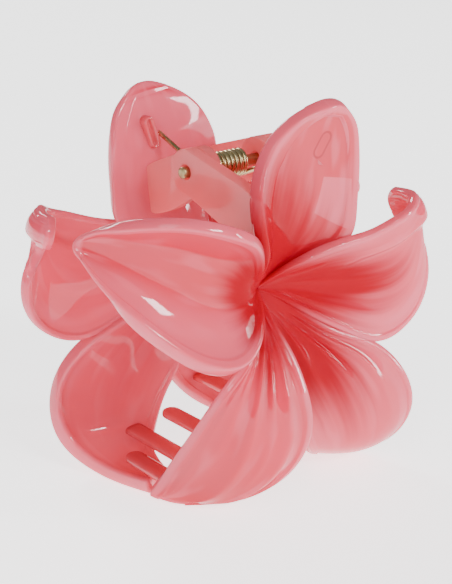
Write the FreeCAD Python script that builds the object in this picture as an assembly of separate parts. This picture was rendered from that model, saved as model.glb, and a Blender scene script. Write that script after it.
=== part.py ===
# Flower claw hair clip: two equal moulded halves, one hinge pin and one torsion spring.
# Millimetres, +Z up. X runs along the hinge pin, the front half lies on the -Y side.
# The rear half is the front half turned half a turn about the vertical axis.
import FreeCAD
import Part
import math
import os

os.makedirs("parts", exist_ok=True)
V = FreeCAD.Vector

# ---- hinge -------------------------------------------------------------------------------
PIN_HEIGHT = 69.0          # pin centre above the rest plane
PIN_RADIUS = 1.15
PIN_HALF_LENGTH = 13.4
RUNNING_GAP = 0.08         # radial clearance of the turning ears
KNUCKLE_RADIUS = 4.6
OUTER_EAR = (9.35, 12.2)   # distance of the two ear faces from the middle of the pin
INNER_EAR = (6.6, 9.05)

# Ear arms in side view: (y, z) corners from the knuckle down the lever and back.
OUTER_EAR_ARM = [(-1.2, 73.4), (-19.2, 68.3), (-19.2, 57.6), (-11.4, 60.1), (2.6, 65.2)]
INNER_EAR_ARM = [(-1.6, 73.3), (-17.4, 67.2), (-15.6, 56.4), (-9.0, 58.8), (2.6, 65.2)]

# ---- spring ------------------------------------------------------------------------------
WIRE_RADIUS = 0.5
COIL_RADIUS = 2.4
COIL_START = -5.7
COIL_PITCH = 1.05
COIL_TURNS = 7.0
LEG_SLOPE = math.radians(24.0)
LEG_LENGTH = 17.4          # straight run of a leg from the coil to the lever
LEG_STEP = 0.2             # sideways lean of the rear leg
LEG_GAP = 0.3              # sideways step between the coil and the front leg
LEG_LEAN = 2.2             # the front leg leans outward by this much

# ---- petals ------------------------------------------------------------------------------
WALL = 2.2                 # moulded wall thickness
CENTRE = V(-4.8, -14.6, 47)
CENTRE_RADIUS = 6.6
CENTRE_DEPTH = 4.4
CENTRE_ROUND = 1.0

# Each petal: left margin, middle line and right margin, listed from the flower centre outward.
PETALS = {
    "top_petal": (
        [(-8, -16, 53), (-12.5, -19.5, 60), (-12.2, -19.5, 69),
         (-8.5, -18.5, 76), (-3, -19.8, 80.5), (5, -22, 83.5)],
        [(-4, -14.2, 52), (0.5, -15, 57.5), (3, -16.8, 64),
         (4, -17.6, 72), (5, -19, 78.5), (6, -22, 83.7)],
        [(0, -14.5, 51.5), (13.5, -17.3, 56.5), (16.8, -18.4, 65),
         (15.8, -18.8, 74), (12, -20.3, 80.5), (7.2, -22, 83.5)],
    ),
    "left_petal": (
        [(-10.2, -17.6, 50.5), (-15.3, -21.5, 60), (-22, -19.5, 64.3),
         (-29, -13, 64.5), (-33, -5, 62.5), (-36, 1.5, 60)],
        [(-9.8, -15, 47), (-13.5, -15, 49), (-19, -14, 50),
         (-26.5, -9.5, 53.5), (-32, -3.5, 56.5), (-36, 1.5, 58.6)],
        [(-9.8, -17, 43.5), (-15.5, -20, 35.5), (-23, -18.8, 36.5),
         (-30, -13.5, 43), (-35, -5, 51), (-36.2, 1.2, 57.2)],
    ),
    "right_petal": (
        [(0.5, -15.5, 50), (7, -18.5, 52.5), (14, -20.2, 54.5),
         (20, -22.5, 56.2), (26, -24.3, 58.2), (33, -22, 60.5)],
        [(0.5, -14.5, 47.5), (7, -16.2, 46.5), (14, -18.5, 45.5),
         (21, -21.5, 45), (27, -25, 46), (31.5, -28, 48)],
        [(0.5, -15.3, 45.2), (7, -17.8, 40), (14, -20, 35.5),
         (21.5, -22, 32.7), (29, -23.2, 33), (35, -24.5, 37)],
    ),
    "lower_right_petal": (
        [(-3, -14.6, 41.5), (-0.5, -15.8, 33), (0.5, -16.5, 22),
         (5, -17.2, 14), (9, -14.5, 9.5), (12, -9.5, 7.6)],
        [(-0.8, -14.4, 41.8), (6, -17.5, 33.5), (13.5, -21.5, 25),
         (18, -23.5, 15), (18.5, -19.5, 5.2), (18, -9, 2.3)],
        [(0.6, -14.6, 42.6), (10, -18.5, 34), (21.5, -22, 29),
         (28, -26, 18.5), (28.5, -20, 5.5), (22.5, -2.2, 0.9)],
    ),
    "lower_left_petal": (
        [(-9.6, -14.8, 41.6), (-12.5, -17.5, 35), (-17, -17.2, 29.5),
         (-20.5, -13, 21.5), (-22, -7, 12), (-21.8, -2.0, 1.2)],
        [(-6.6, -14.8, 41), (-9, -18.5, 34), (-12, -21, 25),
         (-14, -20.5, 14), (-16, -15.5, 4.8), (-18.5, -8, 0.7)],
        [(-4.4, -15.2, 40.8), (-2, -19, 33), (-0.5, -22, 24),
         (-1, -23, 15.5), (-6, -20.5, 7.5), (-13, -14, 2.0)],
    ),
}
ACROSS = 7                 # sample lines across a petal
ALONG = 13                 # sample points along a petal

# ---- teeth: (middle x, tip y, height above the rest plane, root y) -------------------------
TEETH = {
    "outer_tooth": (-20.2, 11.0, 4.8, -14.0),
    "middle_tooth": (-9.0, 12.0, 11.6, -22.0),
    "far_tooth": (14.2, 10.0, 6.6, -19.0),
}
TOOTH_WIDTH = 4.4
TOOTH_THICKNESS = 1.6

# ---- stop boss for the spring leg ----------------------------------------------------------
BOSS_ENDS = ((7.4, 77.2), (8.3, 71.6))   # x, z of the two round ends
BOSS_RADIUS = 1.2
BOSS_Y = (-20.0, -15.6)

# ---- cutting blocks ------------------------------------------------------------------------
FLOOR_SIDE = 100.0         # block that trims the jaws level with the rest plane
FLOOR_DEPTH = 10.0
DRILL_RUN = 1.0            # the hole tool runs past both faces of an ear


def curve_samples(points, count):
    """Even samples on the smooth curve through the given points."""
    curve = Part.BSplineCurve()
    knots = [float(i) for i in range(len(points))]
    curve.interpolate(Points=[V(*p) for p in points], Parameters=knots)
    last = knots[-1]
    return [curve.value(last * i / (count - 1)) for i in range(count)]


def middle_grid(lines):
    """Sample grid of the petal middle surface: ACROSS rows of ALONG points."""
    left, mid, right = [curve_samples(line, ALONG) for line in lines]
    rows = []
    for i in range(ACROSS):
        t = i / (ACROSS - 1)
        a = 2 * (t - 0.5) * (t - 1)
        b = 4 * t * (1 - t)
        c = 2 * t * (t - 0.5)
        rows.append([left[j] * a + mid[j] * b + right[j] * c for j in range(ALONG)])
    return rows


def offset_grid(grid, distance):
    """The grid moved along its own normals."""
    moved = []
    for i in range(ACROSS):
        row = []
        for j in range(ALONG):
            across = grid[min(i + 1, ACROSS - 1)][j] - grid[max(i - 1, 0)][j]
            along = grid[i][min(j + 1, ALONG - 1)] - grid[i][max(j - 1, 0)]
            normal = across.cross(along)
            normal.normalize()
            row.append(grid[i][j] + normal * distance)
        moved.append(row)
    return moved


def clamped_knots(count):
    """Even knots and multiplicities of a clamped cubic with this many poles."""
    spans = count - 3
    knots = [float(i) for i in range(spans + 1)]
    mults = [4] + [1] * (spans - 1) + [4]
    return knots, mults


def surface(grid):
    """Smooth cubic sheet that follows the grid points as its poles."""
    u_knots, u_mults = clamped_knots(ACROSS)
    v_knots, v_mults = clamped_knots(ALONG)
    sheet = Part.BSplineSurface()
    sheet.buildFromPolesMultsKnots(grid, u_mults, v_mults, u_knots, v_knots, False, False, 3, 3)
    return sheet


def petal(lines):
    """A petal wall: two smooth faces joined by ruled rims."""
    grid = middle_grid(lines)
    front = surface(offset_grid(grid, WALL / 2))
    back = surface(offset_grid(grid, -WALL / 2))
    faces = [front.toShape(), back.toShape()]
    u0, u1, v0, v1 = front.bounds()
    p0, p1, q0, q1 = back.bounds()
    pairs = (
        (front.uIso(u0), back.uIso(p0)),
        (front.uIso(u1), back.uIso(p1)),
        (front.vIso(v0), back.vIso(q0)),
        (front.vIso(v1), back.vIso(q1)),
    )
    for one, two in pairs:
        faces.append(Part.makeRuledSurface(one.toShape(), two.toShape()))
    shell = Part.makeShell(faces)
    shell.sewShape()
    solid = Part.makeSolid(shell)
    if solid.Volume < 0:
        solid.reverse()
    return solid


def largest_solid(shape):
    return max(shape.Solids, key=lambda s: s.Volume)


def flower_centre():
    """The thick round web where the five petals meet."""
    disc = Part.makeCylinder(CENTRE_RADIUS, CENTRE_DEPTH,
                             CENTRE - V(0, CENTRE_DEPTH / 2, 0), V(0, 1, 0))
    return disc.makeFillet(CENTRE_ROUND, disc.Edges)


def ear(x_range, root, hole_radius):
    """One hinge ear: round knuckle on the pin and an arm to the lever."""
    x0, x1 = x_range
    thick = x1 - x0
    knuckle = Part.makeCylinder(KNUCKLE_RADIUS, thick, V(x0, 0, PIN_HEIGHT), V(1, 0, 0))
    arm = Part.makePolygon([V(x0, y, z) for y, z in root + [root[0]]])
    plate = Part.Face(arm).extrude(V(thick, 0, 0))
    hole = Part.makeCylinder(hole_radius, thick + 2 * DRILL_RUN,
                             V(x0 - DRILL_RUN, 0, PIN_HEIGHT), V(1, 0, 0))
    return knuckle.fuse(plate).removeSplitter().cut(hole)


def tooth(x, tip_y, z, root_y):
    """A flat finger with a round tip, pointing across the jaw."""
    half = TOOTH_WIDTH / 2
    bar = Part.makeBox(TOOTH_WIDTH, tip_y - half - root_y, TOOTH_THICKNESS,
                       V(x - half, root_y, z - TOOTH_THICKNESS / 2))
    tip = Part.makeCylinder(half, TOOTH_THICKNESS, V(x, tip_y - half, z - TOOTH_THICKNESS / 2))
    return bar.fuse(tip).removeSplitter()


def spring_boss():
    """Raised racetrack rib beside the end of the spring leg."""
    (xa, za), (xb, zb) = BOSS_ENDS
    y0, y1 = BOSS_Y
    run = V(xb - xa, 0, zb - za)
    side = V(run.z, 0, -run.x)
    side.normalize()
    side = side * BOSS_RADIUS
    a = V(xa, y0, za)
    b = V(xb, y0, zb)
    slab = Part.Face(Part.makePolygon([a + side, b + side, b - side, a - side, a + side]))
    body = slab.extrude(V(0, y1 - y0, 0))
    for end in (a, b):
        body = body.fuse(Part.makeCylinder(BOSS_RADIUS, y1 - y0, end, V(0, 1, 0)))
    return body.removeSplitter()


def wire_run(start, end):
    return Part.makeCylinder(WIRE_RADIUS, (end - start).Length, start, end - start)


def coil():
    """Close-wound coil around the pin."""
    path = Part.makeHelix(COIL_PITCH, COIL_PITCH * COIL_TURNS, COIL_RADIUS)
    section = Part.Wire(Part.makeCircle(WIRE_RADIUS, V(COIL_RADIUS, 0, 0), V(0, 1, 0)))
    wire = Part.Wire(path).makePipeShell([section], True, True)
    wire.rotate(V(0, 0, 0), V(0, 1, 0), 90)
    wire.translate(V(COIL_START, 0, PIN_HEIGHT))
    return wire


def leg_start(side):
    """Point under the coil where a leg leaves it; side is +1 for +Y and -1 for -Y."""
    return V(0, side * COIL_RADIUS * math.sin(LEG_SLOPE),
             PIN_HEIGHT - COIL_RADIUS * math.cos(LEG_SLOPE))


def spring_leg(side, x_start, x_end, length):
    start = leg_start(side) + V(x_start, 0, 0)
    reach = V(x_end - x_start, side * length * math.cos(LEG_SLOPE), length * math.sin(LEG_SLOPE))
    return wire_run(start, start + reach)


def trimmed(shape, others):
    """What is left of a shape outside the others, without loose crumbs."""
    for other in others:
        shape = shape.cut(other)
    return largest_solid(shape)


def half_parts(hole_radius):
    """Every node of one moulded half, in the front position."""
    centre = flower_centre()
    corner = V(-FLOOR_SIDE / 2, -FLOOR_SIDE / 2, -FLOOR_DEPTH)
    floor = Part.makeBox(FLOOR_SIDE, FLOOR_SIDE, FLOOR_DEPTH, corner)
    walls = {name: trimmed(petal(PETALS[name]), [centre, floor]) for name in PETALS}
    parts = {"flower_centre": centre}
    parts.update(walls)
    near = (-OUTER_EAR[1], -OUTER_EAR[0])
    levers = [walls["top_petal"], walls["left_petal"]]
    parts["outer_ear"] = trimmed(ear(near, OUTER_EAR_ARM, hole_radius), levers)
    parts["inner_ear"] = trimmed(ear(INNER_EAR, INNER_EAR_ARM, hole_radius), levers)
    parts["spring_boss"] = trimmed_boss(walls["top_petal"])
    jaws = [walls["lower_left_petal"], walls["lower_right_petal"]]
    for name, numbers in TEETH.items():
        parts[name] = trimmed(tooth(*numbers), jaws)
    return parts


def trimmed_boss(wall):
    """The boss solid on the inner side of the lever wall."""
    pieces = spring_boss().cut(wall).Solids
    return max(pieces, key=lambda s: s.CenterOfMass.y)


def turned(shape):
    """The same shape on the rear half."""
    copy = shape.copy()
    copy.rotate(V(0, 0, 0), V(0, 0, 1), 180)
    return copy


def assembly():
    nodes = {}
    for name, shape in half_parts(PIN_RADIUS + RUNNING_GAP).items():
        nodes["front_" + name] = shape
    for name, shape in half_parts(PIN_RADIUS).items():
        nodes["rear_" + name] = turned(shape)
    nodes["hinge_pin"] = Part.makeCylinder(
        PIN_RADIUS, 2 * PIN_HALF_LENGTH, V(-PIN_HALF_LENGTH, 0, PIN_HEIGHT), V(1, 0, 0))
    coil_end = COIL_START + COIL_PITCH * COIL_TURNS
    nodes["spring_coil"] = coil()
    rear_leg = spring_leg(1, COIL_START, COIL_START - LEG_STEP, LEG_LENGTH)
    nodes["spring_rear_leg"] = trimmed(rear_leg, [nodes["rear_top_petal"], nodes["spring_coil"]])
    leg_x = coil_end + 2 * WIRE_RADIUS + LEG_GAP
    front_leg = spring_leg(-1, leg_x, leg_x + LEG_LEAN, LEG_LENGTH)
    nodes["spring_front_leg"] = trimmed(front_leg, [nodes["front_top_petal"]])
    return nodes


for node, solid in assembly().items():
    Part.Compound([solid]).exportStep("parts/" + node + ".step")
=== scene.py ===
# Flower claw hair clip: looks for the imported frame. Blender 4.5, metres, same frame as the CAD.
import bmesh
import bpy
import math
import numpy as np
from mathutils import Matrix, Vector


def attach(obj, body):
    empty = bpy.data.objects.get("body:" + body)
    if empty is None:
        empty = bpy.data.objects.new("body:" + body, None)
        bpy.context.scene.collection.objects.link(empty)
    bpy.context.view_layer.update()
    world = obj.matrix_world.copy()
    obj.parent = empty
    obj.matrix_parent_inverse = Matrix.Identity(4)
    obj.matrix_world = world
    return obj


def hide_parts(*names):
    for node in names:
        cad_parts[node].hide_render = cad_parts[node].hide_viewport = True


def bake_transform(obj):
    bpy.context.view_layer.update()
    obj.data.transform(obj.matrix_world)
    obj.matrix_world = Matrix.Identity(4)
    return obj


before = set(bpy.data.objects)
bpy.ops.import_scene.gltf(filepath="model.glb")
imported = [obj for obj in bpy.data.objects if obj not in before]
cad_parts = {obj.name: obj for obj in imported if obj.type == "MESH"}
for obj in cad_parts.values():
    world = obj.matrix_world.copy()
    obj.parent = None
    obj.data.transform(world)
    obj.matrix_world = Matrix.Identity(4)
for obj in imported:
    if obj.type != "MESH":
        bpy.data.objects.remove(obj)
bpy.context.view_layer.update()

MM = 0.001
PIN_HEIGHT = 69.0
CENTRE = (-6.0, -13.6, 47.0)       # bottom of the flower funnel, front half

# ---- petal outlines, front half, mm: left margin, middle line, right margin, root to tip ------
TOP = (
    [CENTRE, (-7.8, -17.3, 53.5), (-10.8, -19.4, 60), (-11.2, -18.8, 68.5), (-8.2, -18, 74.4),
     (-4.9, -18.5, 78.5), (-0.4, -19.7, 81.4), (3.4, -20.6, 82.7)],
    [CENTRE, (-2.4, -14.2, 52), (1.4, -15.3, 57.6), (3, -16.8, 64.6), (4, -17.4, 71),
     (5, -18.3, 76.4), (5.8, -19.5, 80.4), (6.4, -20.9, 83)],
    [CENTRE, (4.5, -15.6, 49.6), (14.2, -18.6, 54.4), (15.9, -18.9, 61.5), (16, -18.9, 68.5),
     (15, -19.3, 74.6), (12.7, -20.1, 79.2), (9.4, -20.7, 82.1)],
)
LEFT = (
    [CENTRE, (-8.6, -17.8, 52.5), (-11.5, -20.2, 58), (-17, -21.2, 61.6), (-23.5, -18.5, 64),
     (-28.6, -13.4, 64.4), (-32, -7.6, 63.4), (-34.6, -2, 61.6), (-36, 1.2, 60)],
    [CENTRE, (-9.5, -14.8, 47), (-13, -14.2, 48.5), (-17, -13.2, 50), (-21.5, -11.4, 51.8),
     (-26.5, -8.4, 54), (-31, -4.4, 56), (-34.8, -0.4, 57.4), (-36.8, 2.2, 58.4)],
    [CENTRE, (-7.8, -17.2, 42.5), (-10.5, -19, 37.6), (-15.5, -19.6, 35), (-22.5, -18.2, 36.5),
     (-28.8, -14, 41.4), (-33, -9.2, 46.6), (-35.6, -3.6, 52.2), (-36.6, 0.6, 56.6)],
)
RIGHT = (
    [CENTRE, (-1, -15.8, 50), (6, -18.3, 52.6), (12.5, -20, 54.4), (18, -21.4, 55.6),
     (22, -22.4, 56.8), (25, -23, 57.8), (27.8, -23, 58.6), (30, -22.2, 59.4),
     (31.6, -20.4, 60), (32.6, -17.8, 60.2), (32.8, -15.4, 59.9)],
    [CENTRE, (0, -14.6, 47), (7, -16.2, 46.2), (14, -18.4, 45.2), (20.5, -20.6, 44.8),
     (26, -22.2, 45.6), (29, -23.1, 48), (30.6, -23.4, 51.5), (32, -23.3, 55),
     (33.4, -21.6, 57.4), (34.4, -18.2, 57.8), (34.4, -13.6, 57.4)],
    [CENTRE, (0, -15, 44), (7, -17.6, 39), (14, -19.9, 34.8), (21.5, -21.8, 31.2),
     (28.6, -22.6, 32), (34, -23, 36.2), (36.4, -22.8, 42.5), (35.2, -22.6, 48.4),
     (32.8, -22.4, 52.4), (33.4, -20, 54.4), (34.2, -15.4, 54.8)],
)
LOWER_RIGHT = (
    [CENTRE, (-3, -14.8, 40), (-0.5, -16.2, 32), (0.8, -16.8, 22), (4.5, -17.6, 14.5),
     (8.8, -16.4, 8.2), (12.6, -13.4, 4.2), (16.9, -3.4, 2.6)],
    [CENTRE, (-1, -14.8, 41), (6, -17.6, 33.5), (13, -21, 25.5), (17.8, -23.4, 15.8),
     (20.4, -22, 6.6), (20.4, -15.8, 2.3), (20.1, -3.0, 2.0)],
    [CENTRE, (2, -15.4, 41.5), (11, -18.8, 35), (21.5, -22.2, 29.5), (28.4, -26, 19.4),
     (29.6, -23.2, 8.2), (26.4, -16.8, 2.4), (22.6, -1, 1.9)],
)
LOWER_LEFT = (
    [CENTRE, (-9, -16, 41.5), (-12.5, -18, 35), (-17, -17.2, 29.5), (-20, -13.8, 22),
     (-21.6, -9, 14), (-22.4, -4.5, 7), (-22.4, -0.4, 1.6)],
    [CENTRE, (-6.5, -15.6, 40.5), (-9, -18.6, 33.5), (-11.5, -20.8, 26), (-13.2, -21.2, 18.5),
     (-15, -18.6, 10.5), (-17.6, -13, 4.2), (-20.4, -4.6, 1.1)],
    [CENTRE, (-4.2, -15.8, 40.5), (-1.8, -19, 33), (-0.4, -22, 25), (-0.6, -23.4, 17.5),
     (-4.5, -22, 9.8), (-11, -16.5, 4.2), (-18.2, -7.4, 1.2)],
)


def spline(points, knots, where):
    """Natural cubic spline through points, sampled at the given knot values."""
    p = np.array(points, float)
    t = np.array(knots, float)
    n = len(t)
    h = np.diff(t)
    system = np.eye(n)
    right = np.zeros_like(p)
    for i in range(1, n - 1):
        system[i, i - 1:i + 2] = (h[i - 1], 2 * (h[i - 1] + h[i]), h[i])
        right[i] = 6 * ((p[i + 1] - p[i]) / h[i] - (p[i] - p[i - 1]) / h[i - 1])
    m = np.linalg.solve(system, right)
    s = np.clip(np.searchsorted(t, where) - 1, 0, n - 2)
    a = (t[s + 1] - where)[:, None]
    b = (where - t[s])[:, None]
    w = h[s][:, None]
    return ((m[s] * a ** 3 + m[s + 1] * b ** 3) / (6 * w)
            + (p[s] / w - m[s] * w / 6) * a + (p[s + 1] / w - m[s + 1] * w / 6) * b)


def shared_knots(lines):
    """Knot values that suit all three lines of a petal, 0 to 1."""
    lengths = [np.linalg.norm(np.diff(np.array(line, float), axis=0), axis=1) for line in lines]
    mean = np.mean(lengths, axis=0)
    total = np.concatenate([[0], np.cumsum(mean)])
    return total / total[-1]


def smooth(x):
    x = np.clip(x, 0, 1)
    return x * x * (3 - 2 * x)


def petal_sheet(lines, across, along, fullness=2.0):
    """Middle surface of a petal as an array [across, along, 3]."""
    knots = shared_knots(lines)
    left, mid, right = [spline(line, knots, along) for line in lines]
    u = across[:, None, None]
    chord = left[None] * (1 - u) / 2 + right[None] * (1 + u) / 2
    depth = (mid - (left + right) / 2)[None]
    return chord + depth * (1 - np.abs(u) ** fullness)


def unit(v):
    return v / np.maximum(np.linalg.norm(v, axis=-1, keepdims=True), 1e-9)


def sheet_normals(sheet):
    du = np.gradient(sheet, axis=0)
    dv = np.gradient(sheet, axis=1)
    return unit(np.cross(du, dv))


def add_object(name, verts, faces, body, node_names, material, uvs=None):
    """A smooth closed mesh that rides on a body and stands for CAD nodes."""
    mesh = bpy.data.meshes.new(name)
    mesh.from_pydata([tuple(v) for v in verts], [], faces)
    work = bmesh.new()
    work.from_mesh(mesh)
    bmesh.ops.recalc_face_normals(work, faces=work.faces)
    work.to_mesh(mesh)
    work.free()
    mesh.polygons.foreach_set("use_smooth", [True] * len(mesh.polygons))
    if uvs is not None:
        corners = np.empty(len(mesh.loops), dtype=int)
        mesh.loops.foreach_get("vertex_index", corners)
        layer = mesh.uv_layers.new(name="petal")
        layer.data.foreach_set("uv", np.asarray(uvs)[corners].ravel())
    mesh.materials.append(material)
    obj = bpy.data.objects.new(name, mesh)
    bpy.context.collection.objects.link(obj)
    if body:
        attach(obj, body)
    if node_names:
        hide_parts(*node_names)
    return obj


def ring_faces(rows, count, closed=False):
    """Faces between rows of count points: joined in a loop, or closed by a cap at each end."""
    spans = rows if closed else rows - 1
    faces = [(i * count + k, i * count + (k + 1) % count,
              (i + 1) % rows * count + (k + 1) % count, (i + 1) % rows * count + k)
             for i in range(spans) for k in range(count)]
    if not closed:
        faces.append(tuple(range(count - 1, -1, -1)))
        faces.append(tuple(range((rows - 1) * count, rows * count)))
    return faces


def place(points, half):
    """Front-half points in mm to metres in the row frame, turned for the rear half."""
    p = np.array(points, float) * MM
    if half == "rear":
        p = p * np.array([-1, -1, 1])
    return p


def add_part(half, name, verts, faces, material, uvs=None):
    """A piece of one moulded half; verts are in mm, as on the front half."""
    add_object(f"{half}_{name}_skin", place(verts, half), faces, half + "_jaw",
               [f"{half}_{name}"], material, uvs)


ACROSS_COUNT = 71
ALONG_COUNT = 120
EDGE_STEPS = 7
TIP_START = 0.72        # from here on the tip of a petal is treated as flat across
MOST_BULGE = 0.75       # most that a rounded edge stands out past the outline, mm


def lip(distance, width, height):
    """Raised flat lip along a margin, with a short step down to the petal face."""
    step = 0.25 + 0.1 * width
    return height * (1 - smooth((distance - width + step) / step))


def petal_lips(u, v, distances, rims):
    """Height of the lips on the front and on the back, from the distances to three margins."""
    front_lip = np.zeros_like(u * v)
    back_lip = np.zeros_like(u * v)
    for distance, (width, in_front, behind) in zip(distances, rims):
        spread_out = distance + 0 * u * v
        front_lip = np.maximum(front_lip, lip(spread_out, width, in_front))
        back_lip = np.maximum(back_lip, lip(spread_out, width, behind))
    return front_lip, back_lip


def petal_ripples(u, v, folds):
    """Height of the long ripples on the front face."""
    ripple = np.zeros_like(u * v)
    for count, height, phase, start, stop in folds:
        envelope = smooth((v - start) / 0.15) * (1 - smooth((v - stop) / 0.2)) * (1 - u ** 4)
        crest = 1 - np.abs(np.sin(0.5 * (math.pi * count * u + phase))) ** 0.9
        ripple = ripple + height * crest * envelope
    return ripple


def petal_roll(v, from_left, roll):
    """Forward step along the left margin."""
    width, step, height, start = roll
    return (height * smooth((v - start) / 0.3)
            * (1 - smooth((from_left - width) / step)))


def petal_sides(lines, wall, rims, roll, folds, fullness, flip):
    """Middle surface, its normals, front face and back face, with u across and v along."""
    across = np.sin(np.linspace(-math.pi / 2, math.pi / 2, ACROSS_COUNT))
    steps = np.linspace(0, 1, ALONG_COUNT)
    along = 0.012 + 0.988 * (0.7 * steps + 0.3 * np.sin(steps * math.pi / 2))
    sheet = petal_sheet(lines, across, along, fullness)
    normal = sheet_normals(sheet) * (-1 if flip else 1)
    steady = smooth((along - TIP_START) / 0.24)[None, :, None]
    normal = unit(normal * (1 - steady) + normal[ACROSS_COUNT // 2][None] * steady)
    u = across[:, None]
    v = along[None, :]
    width = np.linalg.norm(sheet[-1] - sheet[0], axis=1)[None, :]
    from_left = (1 + u) / 2 * width
    from_right = (1 - u) / 2 * width
    spans = np.linalg.norm(np.diff(sheet[ACROSS_COUNT // 2], axis=0), axis=1)
    ahead = np.concatenate([np.cumsum(spans[::-1])[::-1], [0]])[None, :]
    grow = smooth(v / 0.3)
    front_lip, back_lip = petal_lips(u, v, (from_left, from_right, ahead), rims)
    shift = petal_roll(v, from_left, roll) if roll else np.zeros_like(u * v)
    ripple = petal_ripples(u, v, folds)
    thick = wall * (0.5 + 0.5 * grow)
    front = sheet + normal * (thick / 2 + front_lip * grow + shift + ripple)[..., None]
    back = sheet - normal * (thick / 2 + back_lip * grow - shift)[..., None]
    return sheet, normal, front, back, u, v


def petal_border():
    """Row and column of each grid point round the edge, in order."""
    m, n = ACROSS_COUNT, ALONG_COUNT
    border = [(0, j) for j in range(n)] + [(i, n - 1) for i in range(1, m)]
    border += [(m - 1, j) for j in range(n - 2, -1, -1)] + [(i, 0) for i in range(m - 2, 0, -1)]
    return np.array(border).T


def rounded_edge(sheet, normal, front, back, rows, cols):
    """Rings of points that round the edge from the front face to the back face."""
    edge = sheet[rows, cols]
    tangent = unit(np.roll(edge, -2, axis=0) - np.roll(edge, 2, axis=0))
    out = unit(np.cross(tangent, normal[rows, cols]))
    out = out * np.sign(np.sum(out * (edge - sheet[ACROSS_COUNT // 2, cols])))
    top, low = front[rows, cols], back[rows, cols]
    centre, arm = (top + low) / 2, (top - low) / 2
    bulge = np.minimum(np.linalg.norm(arm, axis=1), MOST_BULGE)[:, None]
    rings = []
    for k in range(1, EDGE_STEPS + 1):
        a = math.pi * k / (EDGE_STEPS + 1)
        rings.append(centre + arm * math.copysign(abs(math.cos(a)) ** 0.6, math.cos(a))
                     + out * bulge * math.sin(a) ** 0.6)
    return rings


def petal_faces(rows, cols):
    """Quads of the front, the back and the rounded edge between them."""
    m, n = ACROSS_COUNT, ALONG_COUNT
    corner = (np.arange(m - 1)[:, None] * n + np.arange(n - 1)[None, :]).ravel()
    quads = np.stack([corner, corner + n, corner + n + 1, corner + 1], axis=1)
    loops = [rows * n + cols]
    loops += [2 * m * n + k * len(rows) + np.arange(len(rows)) for k in range(EDGE_STEPS)]
    loops.append(m * n + rows * n + cols)
    strips = [np.stack([a, np.roll(a, -1), np.roll(b, -1), b], axis=1)
              for a, b in zip(loops, loops[1:])]
    return np.concatenate([quads, quads[:, ::-1] + m * n] + strips).tolist()


def petal_mesh(lines, wall, rims, roll=None, folds=(), fullness=2.0, flip=False):
    """Closed petal body in mm: verts, faces, uvs. The outer side faces away from the hinge."""
    sheet, normal, front, back, u, v = petal_sides(lines, wall, rims, roll, folds, fullness, flip)
    rows, cols = petal_border()
    rings = rounded_edge(sheet, normal, front, back, rows, cols)
    verts = np.concatenate([front.reshape(-1, 3), back.reshape(-1, 3)] + rings)
    uv_grid = np.stack(np.broadcast_arrays((1 + u) / 2, v), axis=-1)
    uv_edge = uv_grid[rows, cols]
    uvs = np.concatenate([uv_grid.reshape(-1, 2)] * 2 + [uv_edge] * EDGE_STEPS)
    return verts, petal_faces(rows, cols), uvs


# ---- materials -----------------------------------------------------------------------------

def node(tree, kind, values=None, **settings):
    """A shader node; each value is a constant or another node's output."""
    new = tree.nodes.new(kind)
    for key, value in settings.items():
        setattr(new, key, value)
    for key, value in (values or {}).items():
        socket = new.inputs[key]
        if isinstance(value, bpy.types.NodeSocket):
            tree.links.new(value, socket)
        else:
            socket.default_value = value
    return new


def calc(tree, operation, a, b=0.0):
    return node(tree, "ShaderNodeMath", {0: a, 1: b}, operation=operation).outputs[0]


def ramp(tree, value, low, high, to_low=0.0, to_high=1.0):
    """Smooth step of value from low to high."""
    return node(tree, "ShaderNodeMapRange", {"Value": value, "From Min": low, "From Max": high,
                                             "To Min": to_low, "To Max": to_high},
                interpolation_type="SMOOTHSTEP").outputs[0]


def blend_colours(tree, factor, a, b):
    mix = node(tree, "ShaderNodeMix", data_type="RGBA")
    for socket, value in zip((mix.inputs[0], mix.inputs[6], mix.inputs[7]), (factor, a, b)):
        if isinstance(value, bpy.types.NodeSocket):
            tree.links.new(value, socket)
        else:
            socket.default_value = value
    return mix.outputs[2]


def noise(tree, vector, scale, detail=2.0):
    return node(tree, "ShaderNodeTexNoise", {"Vector": vector, "Scale": scale,
                                             "Detail": detail}).outputs["Fac"]


def new_material(name):
    material = bpy.data.materials.new(name)
    material.use_nodes = True
    material.node_tree.nodes.clear()
    return material, material.node_tree


PINK = (0.76, 0.036, 0.078, 1)
# Pale pink below: milky margins and wisps, and also painted light on the inner tips and the ear
# patch.
PALE_PINK = (0.90, 0.20, 0.28, 1)
RED = (0.42, 0.0, 0.012, 1)
DEEP = (0.71, 0.022, 0.050, 1)
DARK = (0.58, 0.010, 0.030, 1)


def outwards(tree, place_here):
    """How much a face looks away from the middle of the clip: positive on outer faces."""
    arm = node(tree, "ShaderNodeVectorMath", {0: place_here, 1: (0, 0, 45 * MM)},
               operation="SUBTRACT").outputs[0]
    arm = node(tree, "ShaderNodeVectorMath", {0: arm}, operation="NORMALIZE").outputs[0]
    facing = node(tree, "ShaderNodeTexCoord").outputs["Normal"]
    return node(tree, "ShaderNodeVectorMath", {0: arm, 1: facing},
                operation="DOT_PRODUCT").outputs["Value"]


# Outlines in mm on the lever, where painted light stands for the ear behind it and a painted
# shade line for the boss: (x, z).
EAR_PATCH = ((7.6, 68.4), (6.2, 60.8), (15.4, 55.5), (14.5, 67.2))
BOSS_RUN = ((6.9, 76.1), (5.7, 73.6))
BOSS_OUTER = 1.25


def lever_plane(tree, place_here):
    """x and z in mm on the lever, the same for both halves."""
    where = node(tree, "ShaderNodeSeparateXYZ", {0: place_here})
    half = calc(tree, "SIGN", where.outputs[1])
    x = calc(tree, "MULTIPLY", calc(tree, "MULTIPLY", where.outputs[0], half), -1 / MM)
    return x, calc(tree, "DIVIDE", where.outputs[2], MM)


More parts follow.
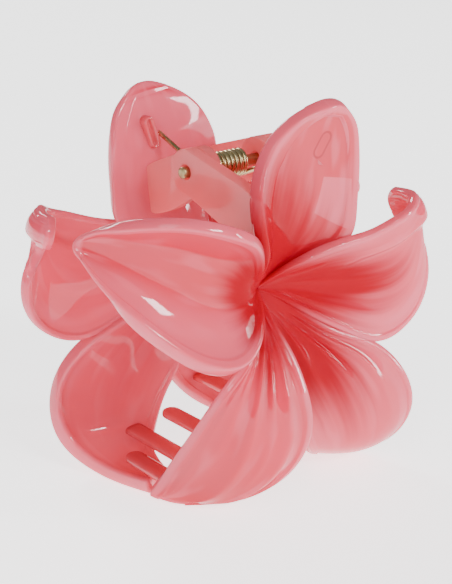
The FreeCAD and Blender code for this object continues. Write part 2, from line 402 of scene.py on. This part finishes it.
def along_line(tree, x, z, start, step):
    """Signed distance of (x, z) from the start point in the direction of step."""
    return calc(tree, "ADD",
                calc(tree, "MULTIPLY", calc(tree, "SUBTRACT", x, start[0]), step[0]),
                calc(tree, "MULTIPLY", calc(tree, "SUBTRACT", z, start[1]), step[1]))


def painted_ear_light(tree, place_here, facing):
    """Painted light: a paler patch on the outer face of the lever, standing in for the ear behind
    it showing through.
    """
    x, z = lever_plane(tree, place_here)
    inside = ramp(tree, facing, 0.0, 0.1)
    for (x1, z1), (x2, z2) in zip(EAR_PATCH, EAR_PATCH[1:] + EAR_PATCH[:1]):
        length = math.hypot(x2 - x1, z2 - z1)
        depth = along_line(tree, x, z, (x1, z1), ((z1 - z2) / length, (x2 - x1) / length))
        inside = calc(tree, "MULTIPLY", inside, ramp(tree, depth, 0.0, 0.35))
    return calc(tree, "MULTIPLY", inside, 0.5)


def painted_boss_shade_line(tree, place_here, facing):
    """Painted shade: a thin racetrack line on the outer face, standing in for the boss behind it
    showing through.
    """
    x, z = lever_plane(tree, place_here)
    (x1, z1), (x2, z2) = BOSS_RUN
    length = math.hypot(x2 - x1, z2 - z1)
    run = ((x2 - x1) / length, (z2 - z1) / length)
    ahead = along_line(tree, x, z, BOSS_RUN[0], run)
    past = calc(tree, "SUBTRACT", ahead,
                calc(tree, "MINIMUM", calc(tree, "MAXIMUM", ahead, 0.0), length))
    aside = along_line(tree, x, z, BOSS_RUN[0], (-run[1], run[0]))
    distance = calc(tree, "SQRT", calc(tree, "ADD", calc(tree, "POWER", past, 2.0),
                                       calc(tree, "POWER", aside, 2.0)))
    off_line = calc(tree, "ABSOLUTE", calc(tree, "SUBTRACT", distance, BOSS_OUTER))
    line = ramp(tree, off_line, 0.35, 0.1)
    line = calc(tree, "MULTIPLY", line, 0.8)
    return calc(tree, "MULTIPLY", line, ramp(tree, facing, 0.0, 0.1))


def waves(tree, place_here, facing):
    """Shallow waves of the moulding, stronger on the faces that look inward."""
    strength = ramp(tree, facing, 0.1, -0.1, 0.15, 0.45)
    height = noise(tree, place_here, 105.0, 0.0)
    return node(tree, "ShaderNodeBump", {"Strength": strength, "Distance": 0.0009,
                                         "Height": height}).outputs[0]


def plastic_output(tree, colour, roughness, see_through, shine, milk=0.22, normal=None):
    """Glossy, slightly cloudy plastic that lets some light through."""
    body = node(tree, "ShaderNodeBsdfPrincipled", {
        "Base Color": colour, "Roughness": roughness, "IOR": 1.5,
        "Subsurface Weight": 0.35, "Subsurface Radius": (1.0, 0.35, 0.3),
        "Subsurface Scale": 0.003, "Specular IOR Level": shine})
    if normal:
        tree.links.new(normal, body.inputs["Normal"])
    through = node(tree, "ShaderNodeBsdfTranslucent", {"Color": colour})
    milky = node(tree, "ShaderNodeMixShader", {0: milk, 1: body.outputs[0],
                                               2: through.outputs[0]})
    clear = node(tree, "ShaderNodeBsdfTransparent", {"Color": (1.0, 0.35, 0.37, 1)})
    final = node(tree, "ShaderNodeMixShader", {0: see_through, 1: milky.outputs[0],
                                               2: clear.outputs[0]})
    node(tree, "ShaderNodeOutputMaterial", {"Surface": final.outputs[0]})


def petal_redness(tree, u, v, facing, reach, side, spread):
    """Streaky red from the root, mostly on outer faces: 0 to 1."""
    stretched = node(tree, "ShaderNodeCombineXYZ",
                     {0: calc(tree, "MULTIPLY", u, 9.0), 1: calc(tree, "MULTIPLY", v, 1.2)})
    streak = noise(tree, stretched.outputs[0], 1.0, 3.0)
    away = calc(tree, "ABSOLUTE", calc(tree, "SUBTRACT", u, side))
    ahead = calc(tree, "ADD", v, calc(tree, "MULTIPLY", away, spread))
    ahead = calc(tree, "SUBTRACT", ahead,
                 calc(tree, "MULTIPLY", calc(tree, "SUBTRACT", streak, 0.5), 0.5 * reach))
    return calc(tree, "MULTIPLY", ramp(tree, ahead, reach, 0.55 * reach),
                ramp(tree, facing, -0.1, 0.15, 0.2, 1.0))


def petal_milkiness_and_painted_light(tree, u, v, facing, pale, inner_pale, inner_tip_painted_light, low_pale):
    """How pale: at the rims, on the inner face, on the right half; painted light at the inner
    tip.
    """
    edge = calc(tree, "ABSOLUTE", calc(tree, "SUBTRACT", calc(tree, "MULTIPLY", u, 2.0), 1.0))
    rim = calc(tree, "MAXIMUM", ramp(tree, edge, 0.86, 0.97), ramp(tree, v, 0.955, 0.985))
    milky = calc(tree, "MAXIMUM", ramp(tree, edge, 0.4, 1.0, pale, 1.5 * pale + 0.1),
                 calc(tree, "MULTIPLY", rim, 0.55))
    # Inner face: paler near the root, and towards the tip painted light that lifts the shaded
    # floor of the bowl.
    inner = calc(tree, "MULTIPLY", ramp(tree, facing, 0.1, -0.1),
                 ramp(tree, v, 0.4, 0.85, inner_pale, max(inner_pale, inner_tip_painted_light)))
    milky = calc(tree, "MAXIMUM", milky, inner)
    return calc(tree, "MAXIMUM", milky, ramp(tree, u, 0.5, 0.85, 0.0, low_pale))


def petal_plastic(name, reach, side=0.5, spread=0.5, see_through=0.06, pale=0.0,
                  inner_pale=0.0, inner_tip_painted_light=0.0, low_pale=0.0, deep=0.0, tip_deep=0.0,
                  lever=False):
    """Pink petal plastic, red at the root and paler along the margins.

    reach: how far the red runs, as a share of the length; side: where across it is longest.
    spread: how much shorter the red is away from there. pale: milkiness towards the margins.
    inner_pale, inner_tip_painted_light: milkiness of the inner face near the root; near the tip
    the inner face is painted paler, as painted light that lifts the shaded bowl.
    low_pale: milkiness of the right half. deep, tip_deep: darker pink, at the root and tip.
    """
    material, tree = new_material(name)
    uv = node(tree, "ShaderNodeUVMap", uv_map="petal")
    split = node(tree, "ShaderNodeSeparateXYZ", {0: uv.outputs[0]})
    u, v = split.outputs[0], split.outputs[1]
    place_here = node(tree, "ShaderNodeTexCoord").outputs["Object"]
    facing = outwards(tree, place_here)
    redness = petal_redness(tree, u, v, facing, reach, side, spread)
    milky = petal_milkiness_and_painted_light(tree, u, v, facing, pale, inner_pale, inner_tip_painted_light, low_pale)
    # On the lever: painted light where the ear behind it shows through.
    if lever:
        milky = calc(tree, "MAXIMUM", milky, painted_ear_light(tree, place_here, facing))
    cloud = ramp(tree, noise(tree, place_here, 38.0), 0.35, 0.7)
    base = blend_colours(tree, cloud, PINK, DEEP)
    base = blend_colours(tree, ramp(tree, v, 0.5, 0.95, deep, max(deep, tip_deep)), base, DARK)
    swirl = node(tree, "ShaderNodeCombineXYZ",
                 {0: calc(tree, "MULTIPLY", u, 4.0), 1: calc(tree, "MULTIPLY", v, 2.2)})
    wisps = ramp(tree, noise(tree, swirl.outputs[0], 1.6, 1.0), 0.5, 0.68, 0.0, 0.28)
    base = blend_colours(tree, wisps, base, PALE_PINK)
    # Paler pink at the margins, and painted light on the inner tips and the ear patch.
    base = blend_colours(tree, milky, base, PALE_PINK)
    # On the lever: a painted shade line where the boss behind it shows through.
    if lever:
        base = blend_colours(tree, painted_boss_shade_line(tree, place_here, facing), base, RED)
    colour = blend_colours(tree, redness, base, RED)
    dull = calc(tree, "MAXIMUM", redness, ramp(tree, v, 0.7, 0.92, 0.0, 0.7 * tip_deep))
    shine = ramp(tree, dull, 0.0, 1.0, 0.5, 0.06)
    clear = ramp(tree, redness, 0.0, 1.0, see_through, 0.0)
    plastic_output(tree, colour, 0.05, clear, shine, normal=waves(tree, place_here, facing))
    return material


def frame_plastic(name, light, dark, milk):
    """The same plastic without the flower's colouring, for ears, boss and teeth."""
    material, tree = new_material(name)
    place_here = node(tree, "ShaderNodeTexCoord").outputs["Object"]
    cloud = ramp(tree, noise(tree, place_here, 70.0), 0.35, 0.7)
    colour = blend_colours(tree, cloud, light, dark)
    plastic_output(tree, colour, 0.08, 0.04, 0.7, milk)
    return material


def centre_plastic():
    """Deep red plug behind the petal roots."""
    material, tree = new_material("flower_centre")
    place_here = node(tree, "ShaderNodeTexCoord").outputs["Object"]
    cloud = ramp(tree, noise(tree, place_here, 150.0), 0.3, 0.7)
    colour = blend_colours(tree, cloud, RED, (0.60, 0.03, 0.04, 1))
    plastic_output(tree, colour, 0.15, 0.0, 0.25)
    return material


def brass(name, dark, light, roughness):
    """Yellowish metal with fine tone and gloss variation."""
    material, tree = new_material(name)
    place_here = node(tree, "ShaderNodeTexCoord").outputs["Object"]
    cloud = ramp(tree, noise(tree, place_here, 250.0), 0.3, 0.7)
    colour = blend_colours(tree, cloud, dark, light)
    worn = ramp(tree, noise(tree, place_here, 600.0), 0.2, 0.8, roughness, roughness + 0.12)
    body = node(tree, "ShaderNodeBsdfPrincipled",
                {"Base Color": colour, "Metallic": 1.0, "Roughness": worn})
    node(tree, "ShaderNodeOutputMaterial", {"Surface": body.outputs[0]})
    return material


# ---- petals --------------------------------------------------------------------------------
# rims: (width, height in front, height behind) along the left margin, right margin and tip
# roll: (width, step, height, start) of a forward step along the left margin
# folds: (count, height, phase, start, stop) of long ripples
PETALS = {
    "top_petal": dict(lines=TOP, wall=1.9,
                      rims=((4.0, 0.9, 0.0), (2.6, 0.5, 0.1), (2.2, 0.5, 0.2))),
    "left_petal": dict(lines=LEFT, wall=1.9, fullness=2.2,
                       rims=((1.2, 0.25, 0.3), (1.1, 0.35, 1.4), (1.2, 0.3, 0.6))),
    "right_petal": dict(lines=RIGHT, wall=1.8, roll=(5.0, 2.2, 1.4, 0.25),
                        folds=((3.0, 0.5, 0.6, 0.08, 0.5),),
                        rims=((0.8, 0.15, 0.2), (0.9, 0.2, 0.4), (0.8, 0.15, 0.2))),
    "lower_right_petal": dict(lines=LOWER_RIGHT, wall=1.9,
                              folds=((4.0, 0.6, 0.3, 0.08, 0.45),),
                              rims=((1.0, 0.3, 0.4), (1.3, 0.3, 1.1), (1.0, 0.2, 0.4))),
    "lower_left_petal": dict(lines=LOWER_LEFT, wall=1.9,
                             folds=((3.0, 0.6, 0.8, 0.08, 0.8), (5.0, 0.3, 2.2, 0.1, 0.6)),
                             rims=((1.4, 0.4, 0.3), (1.4, 0.5, 0.4), (1.0, 0.2, 0.4))),
}
FLIPPED = ("left_petal", "lower_right_petal", "lower_left_petal")
PAINT = {
    "top_petal": petal_plastic("top_petal", 0.86, side=0.2, spread=0.5, see_through=0.03,
                               inner_pale=0.65, deep=0.5, lever=True),
    "left_petal": petal_plastic("left_petal", 0.38, side=0.5, spread=0.15, pale=0.05,
                                low_pale=0.55, deep=0.42),
    "right_petal": petal_plastic("right_petal", 0.82, side=0.5, spread=0.7, pale=0.25),
    # lower right: inner tip painted paler, as painted light on the shaded floor of the bowl
    "lower_right_petal": petal_plastic("lower_right_petal", 0.72, side=0.3, spread=0.45,
                                       pale=0.27, inner_pale=0.16, inner_tip_painted_light=0.6),
    "lower_left_petal": petal_plastic("lower_left_petal", 0.45, side=0.6, spread=0.3,
                                      pale=0.05, inner_pale=0.5, deep=0.1, tip_deep=1.0),
}
BOSS_PLASTIC = frame_plastic("boss_plastic", (0.84, 0.12, 0.16, 1), (0.80, 0.09, 0.13, 1), 0.3)
# Ears: a much paler copy of the pink plastic, painted light that lifts their shaded faces.
EAR_PLASTIC_PAINTED_LIGHT = frame_plastic("frame_plastic", (0.99, 0.36, 0.38, 1), (0.98, 0.29, 0.31, 1), 0.65)
TOOTH_PLASTIC = frame_plastic("tooth_plastic", (0.80, 0.10, 0.135, 1), (0.76, 0.075, 0.105, 1),
                              0.3)
CENTRE_PLASTIC = centre_plastic()
SPRING_WIRE = brass("spring_wire", (0.42, 0.33, 0.15, 1), (0.62, 0.52, 0.28, 1), 0.22)
PIN_BRASS = brass("hinge_pin", (0.26, 0.19, 0.09, 1), (0.40, 0.31, 0.16, 1), 0.38)


def add_petal(half, name):
    verts, faces, uvs = petal_mesh(flip=name in FLIPPED, **PETALS[name])
    add_part(half, name, verts, faces, PAINT[name], uvs)


# ---- flower centre -------------------------------------------------------------------------

def add_centre(half):
    """Small funnel behind the petal roots: a lathed plug about the Y direction."""
    profile = [(0.0, -12.8), (2.2, -13.1), (3.6, -13.5), (4.6, -14.1), (5.0, -14.2), (5.2, -13.9),
               (5.2, -13.0), (5.0, -11.6), (4.0, -10.6), (0.0, -10.4)]
    count = 64
    verts = []
    for radius, y in profile:
        for k in range(count):
            a = 2 * math.pi * k / count
            verts.append((CENTRE[0] + 1.0 + max(radius, 0.05) * math.cos(a), y,
                          CENTRE[2] + max(radius, 0.05) * math.sin(a)))
    add_part(half, "flower_centre", verts, ring_faces(len(profile), count),
             CENTRE_PLASTIC)


# ---- hinge ears ----------------------------------------------------------------------------
KNUCKLE = 4.6
HOLE = 1.45
EAR_BEVEL = 0.18
OUTER_EAR_X = (-12.2, -9.35)
INNER_EAR_X = (6.6, 9.05)
OUTER_ARM = [(-1.2, 73.4), (-19.4, 68.0), (-19.4, 57.6), (-11.4, 60.1), (3.4, 65.9)]
INNER_ARM = [(-1.6, 73.3), (-17.6, 66.8), (-15.8, 56.4), (-9.0, 58.8), (3.4, 65.9)]


def ray_to_polygon(direction, corners):
    """Distance from the pin axis to the outline of the arm or knuckle along a direction."""
    best = KNUCKLE
    count = len(corners)
    for i in range(count):
        a = np.array(corners[i]) - (0, PIN_HEIGHT)
        b = np.array(corners[(i + 1) % count]) - (0, PIN_HEIGHT)
        matrix = np.array([direction, a - b]).T
        if abs(np.linalg.det(matrix)) < 1e-9:
            continue
        reach, part = np.linalg.solve(matrix, a)
        if reach > 0 and -1e-6 <= part <= 1 + 1e-6:
            best = max(best, reach)
    return best


def add_ear(half, name, x_low, x_high, arm):
    """Ear plate as one closed band of rings round the pin hole."""
    count = 180
    angles = np.linspace(0, 2 * math.pi, count, endpoint=False)
    reach = np.array([ray_to_polygon((math.cos(a), math.sin(a)), arm) for a in angles])
    for _ in range(3):
        reach = (np.roll(reach, 1) + 2 * reach + np.roll(reach, -1)) / 4
    b = EAR_BEVEL
    k = b * (1 - math.sqrt(0.5))
    profile = [  # (x, share of the way from hole to outline, offset in mm)
        (x_high - b, 0, 0), (x_high - k, 0, k), (x_high, 0, b), (x_high, 0, b + 0.3),
        (x_high, 1, -b - 0.4), (x_high, 1, -b), (x_high - k, 1, -k), (x_high - b, 1, 0),
        (x_high - b - 0.3, 1, 0), (x_low + b + 0.3, 1, 0),
        (x_low + b, 1, 0), (x_low + k, 1, -k), (x_low, 1, -b), (x_low, 1, -b - 0.4),
        (x_low, 0, b + 0.3), (x_low, 0, b), (x_low + k, 0, k), (x_low + b, 0, 0)]
    verts = []
    for x, share, offset in profile:
        for a, r in zip(angles, reach):
            d = (r if share else HOLE) + offset
            verts.append((x, d * math.cos(a), PIN_HEIGHT + d * math.sin(a)))
    add_part(half, name, verts, ring_faces(len(profile), count, closed=True),
             EAR_PLASTIC_PAINTED_LIGHT)


# ---- teeth, boss ---------------------------------------------------------------------------
# x, y of the tip, z, y of the root
TEETH = {
    "outer_tooth": (-20.2, 11.0, 4.8, -7.0),
    "middle_tooth": (-9.0, 12.0, 11.6, -21.0),
    "far_tooth": (14.2, 10.0, 6.6, -17.5),
}


def add_tooth(half, name, x, tip_y, z, root_y):
    """Rounded finger: an oval section swept to a round tip."""
    wide, thick = 2.2, 1.0
    rows = 40
    count = 32
    verts = []
    for i in range(rows):
        t = i / (rows - 1)
        y = root_y + (tip_y - root_y) * math.sin(t * math.pi / 2)
        left = (tip_y - y) / wide
        size = math.sqrt(max(1 - max(1 - left, 0) ** 2, 0.0004))
        for j in range(count):
            a = 2 * math.pi * j / count
            ca, sa = math.cos(a), math.sin(a)
            verts.append((x + wide * size * math.copysign(abs(ca) ** 0.7, ca), y,
                          z + thick * size ** 0.5 * math.copysign(abs(sa) ** 0.7, sa)))
    add_part(half, name, verts, ring_faces(rows, count), TOOTH_PLASTIC)


def add_boss(half):
    """Racetrack rib on the inside of the lever, with a shallow hollow."""
    a = np.array((8.4, 76.2))
    b = np.array((6.9, 71.9))
    run = unit(b - a)
    side = np.array((run[1], -run[0]))
    turn = np.linspace(0, math.pi, 17)
    path = [(b, side * math.cos(t) + run * math.sin(t)) for t in turn]
    path += [(a, -side * math.cos(t) - run * math.sin(t)) for t in turn]
    profile = [(1.25, -18.6), (1.25, -16.2), (1.15, -15.8), (0.95, -15.65), (0.7, -15.8),
               (0.55, -16.3), (0.05, -16.4)]
    count = len(path)
    verts = []
    for radius, y in profile:
        for end, out in path:
            p = end + out * radius
            verts.append((p[0], y, p[1]))
    add_part(half, "spring_boss", verts, ring_faces(len(profile), count),
             BOSS_PLASTIC)


for half in ("front", "rear"):
    for petal_name in PETALS:
        add_petal(half, petal_name)
    add_centre(half)
    add_ear(half, "outer_ear", *OUTER_EAR_X, OUTER_ARM)
    add_ear(half, "inner_ear", *INNER_EAR_X, INNER_ARM)
    add_boss(half)
    for tooth_name, numbers in TEETH.items():
        add_tooth(half, tooth_name, *numbers)


# ---- pin and spring ------------------------------------------------------------------------

def add_pin():
    """Plain pin with rounded ends, lathed about X."""
    profile = [(0.02, -13.4), (0.6, -13.38), (0.95, -13.3), (1.15, -13.1), (1.15, -12.6),
               (1.15, 12.6), (1.15, 13.1), (0.95, 13.3), (0.6, 13.38), (0.02, 13.4)]
    count = 48
    verts = [(x, r * math.cos(2 * math.pi * k / count),
              PIN_HEIGHT + r * math.sin(2 * math.pi * k / count))
             for r, x in profile for k in range(count)]
    faces = ring_faces(len(profile), count)
    add_object("hinge_pin_skin", place(verts, "front"), faces, "rear_jaw", ["hinge_pin"],
               PIN_BRASS)


def tube(path, radius, count=14):
    """Round wire along a path of points, with closed ends."""
    p = np.array(path, float)
    tangent = unit(np.gradient(p, axis=0))
    side = np.array((1.0, 0, 0)) - tangent * tangent[:, :1]
    side = unit(side)
    up = np.cross(tangent, side)
    turn = np.linspace(0, 2 * math.pi, count, endpoint=False)
    rings = (p[:, None] + radius * (side[:, None] * np.cos(turn)[None, :, None]
                                    + up[:, None] * np.sin(turn)[None, :, None]))
    return rings.reshape(-1, 3), ring_faces(len(p), count)


def add_spring():
    """One wire: front leg, seven turns round the pin, rear leg."""
    slope = math.radians(24)
    radius, length, turns, wire_radius = 2.4, 17.0, 7, 0.5
    x_high, x_low = 2.7, -5.4
    path = []
    lead = np.array((x_high, -radius * math.sin(slope), PIN_HEIGHT - radius * math.cos(slope)))
    far = lead + np.array((2.6, -length * math.cos(slope), length * math.sin(slope)))
    for t in np.linspace(0, 1, 40)[:-1]:
        path.append(far + (lead - far) * t)
    total = turns * 2 * math.pi + 2 * slope
    steps = turns * 40
    for i in range(steps + 1):
        a = -slope + total * i / steps
        path.append((x_high + (x_low - x_high) * i / steps, radius * math.sin(a),
                     PIN_HEIGHT - radius * math.cos(a)))
    last = np.array(path[-1])
    end = last + np.array((-0.2, length * math.cos(slope), length * math.sin(slope)))
    for t in np.linspace(0, 1, 40)[1:]:
        path.append(last + (end - last) * t)
    verts, faces = tube(path, wire_radius)
    spring = add_object("torsion_spring", place(verts, "front"), faces, None, None,
                        SPRING_WIRE)
    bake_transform(spring)
    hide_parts("spring_coil", "spring_rear_leg", "spring_front_leg")


add_pin()
add_spring()


# ---- floor, light, camera ------------------------------------------------------------------

def add_floor():
    """Plain pale floor that glows a little, so that the shadows stay soft."""
    mesh = bpy.data.meshes.new("floor")
    mesh.from_pydata([(-9, -9, 0), (9, -9, 0), (9, 9, 0), (-9, 9, 0)], [], [(0, 1, 2, 3)])
    floor = bpy.data.objects.new("floor", mesh)
    floor.location.z = -0.0006
    bpy.context.collection.objects.link(floor)
    material, tree = new_material("floor")
    place_here = node(tree, "ShaderNodeTexCoord").outputs["Object"]
    grey = noise(tree, place_here, 3.0)
    colour = blend_colours(tree, grey, (0.90, 0.90, 0.90, 1), (0.93, 0.93, 0.93, 1))
    body = node(tree, "ShaderNodeBsdfPrincipled", {
        "Base Color": colour, "Roughness": 0.6,
        "Emission Color": (1, 1, 1, 1), "Emission Strength": 2.1})
    node(tree, "ShaderNodeOutputMaterial", {"Surface": body.outputs[0]})
    mesh.materials.append(material)


def aim(obj, location, target):
    obj.location = location
    obj.rotation_euler = (Vector(target) - Vector(location)).to_track_quat("-Z", "Y").to_euler()


def add_light(name, location, width, height, watts):
    """Soft rectangular lamp that points at the middle of the clip."""
    light = bpy.data.lights.new(name, "AREA")
    light.shape = "RECTANGLE"
    light.size = width
    light.size_y = height
    light.energy = watts
    lamp = bpy.data.objects.new(name, light)
    bpy.context.collection.objects.link(lamp)
    aim(lamp, location, (0, 0, 0.045))


def add_camera():
    """Camera from the front left and a little above."""
    camera = bpy.data.objects.new("camera", bpy.data.cameras.new("camera"))
    camera.data.lens = 62.4
    camera.data.clip_start = 0.005
    bpy.context.collection.objects.link(camera)
    aim(camera, (-0.1367, -0.1501, 0.1149), (-0.0015, 0.0, 0.0414))
    bpy.context.scene.camera = camera


def add_world():
    """Weak even white light from all round."""
    world = bpy.data.worlds.new("world")
    bpy.context.scene.world = world
    world.use_nodes = True
    background = world.node_tree.nodes["Background"]
    background.inputs["Color"].default_value = (1, 1, 1, 1)
    background.inputs["Strength"].default_value = 0.25


# name, place in metres, width, height, watts
LIGHTS = (
    ("front softbox", (0.13, -2.1, 1.5), 0.75, 0.36, 42.0),
    ("side strip", (1.75, -1.95, 0.55), 0.26, 1.5, 44.0),
    ("overhead", (-1.8, -0.7, 1.7), 1.0, 1.0, 12.0),
    ("left fill", (-1.7, -0.75, 0.75), 0.45, 0.5, 9.5),
    ("back", (0.3, 2.4, 1.8), 0.8, 0.6, 34.0),
)

add_floor()
for light_numbers in LIGHTS:
    add_light(*light_numbers)
add_camera()
add_world()
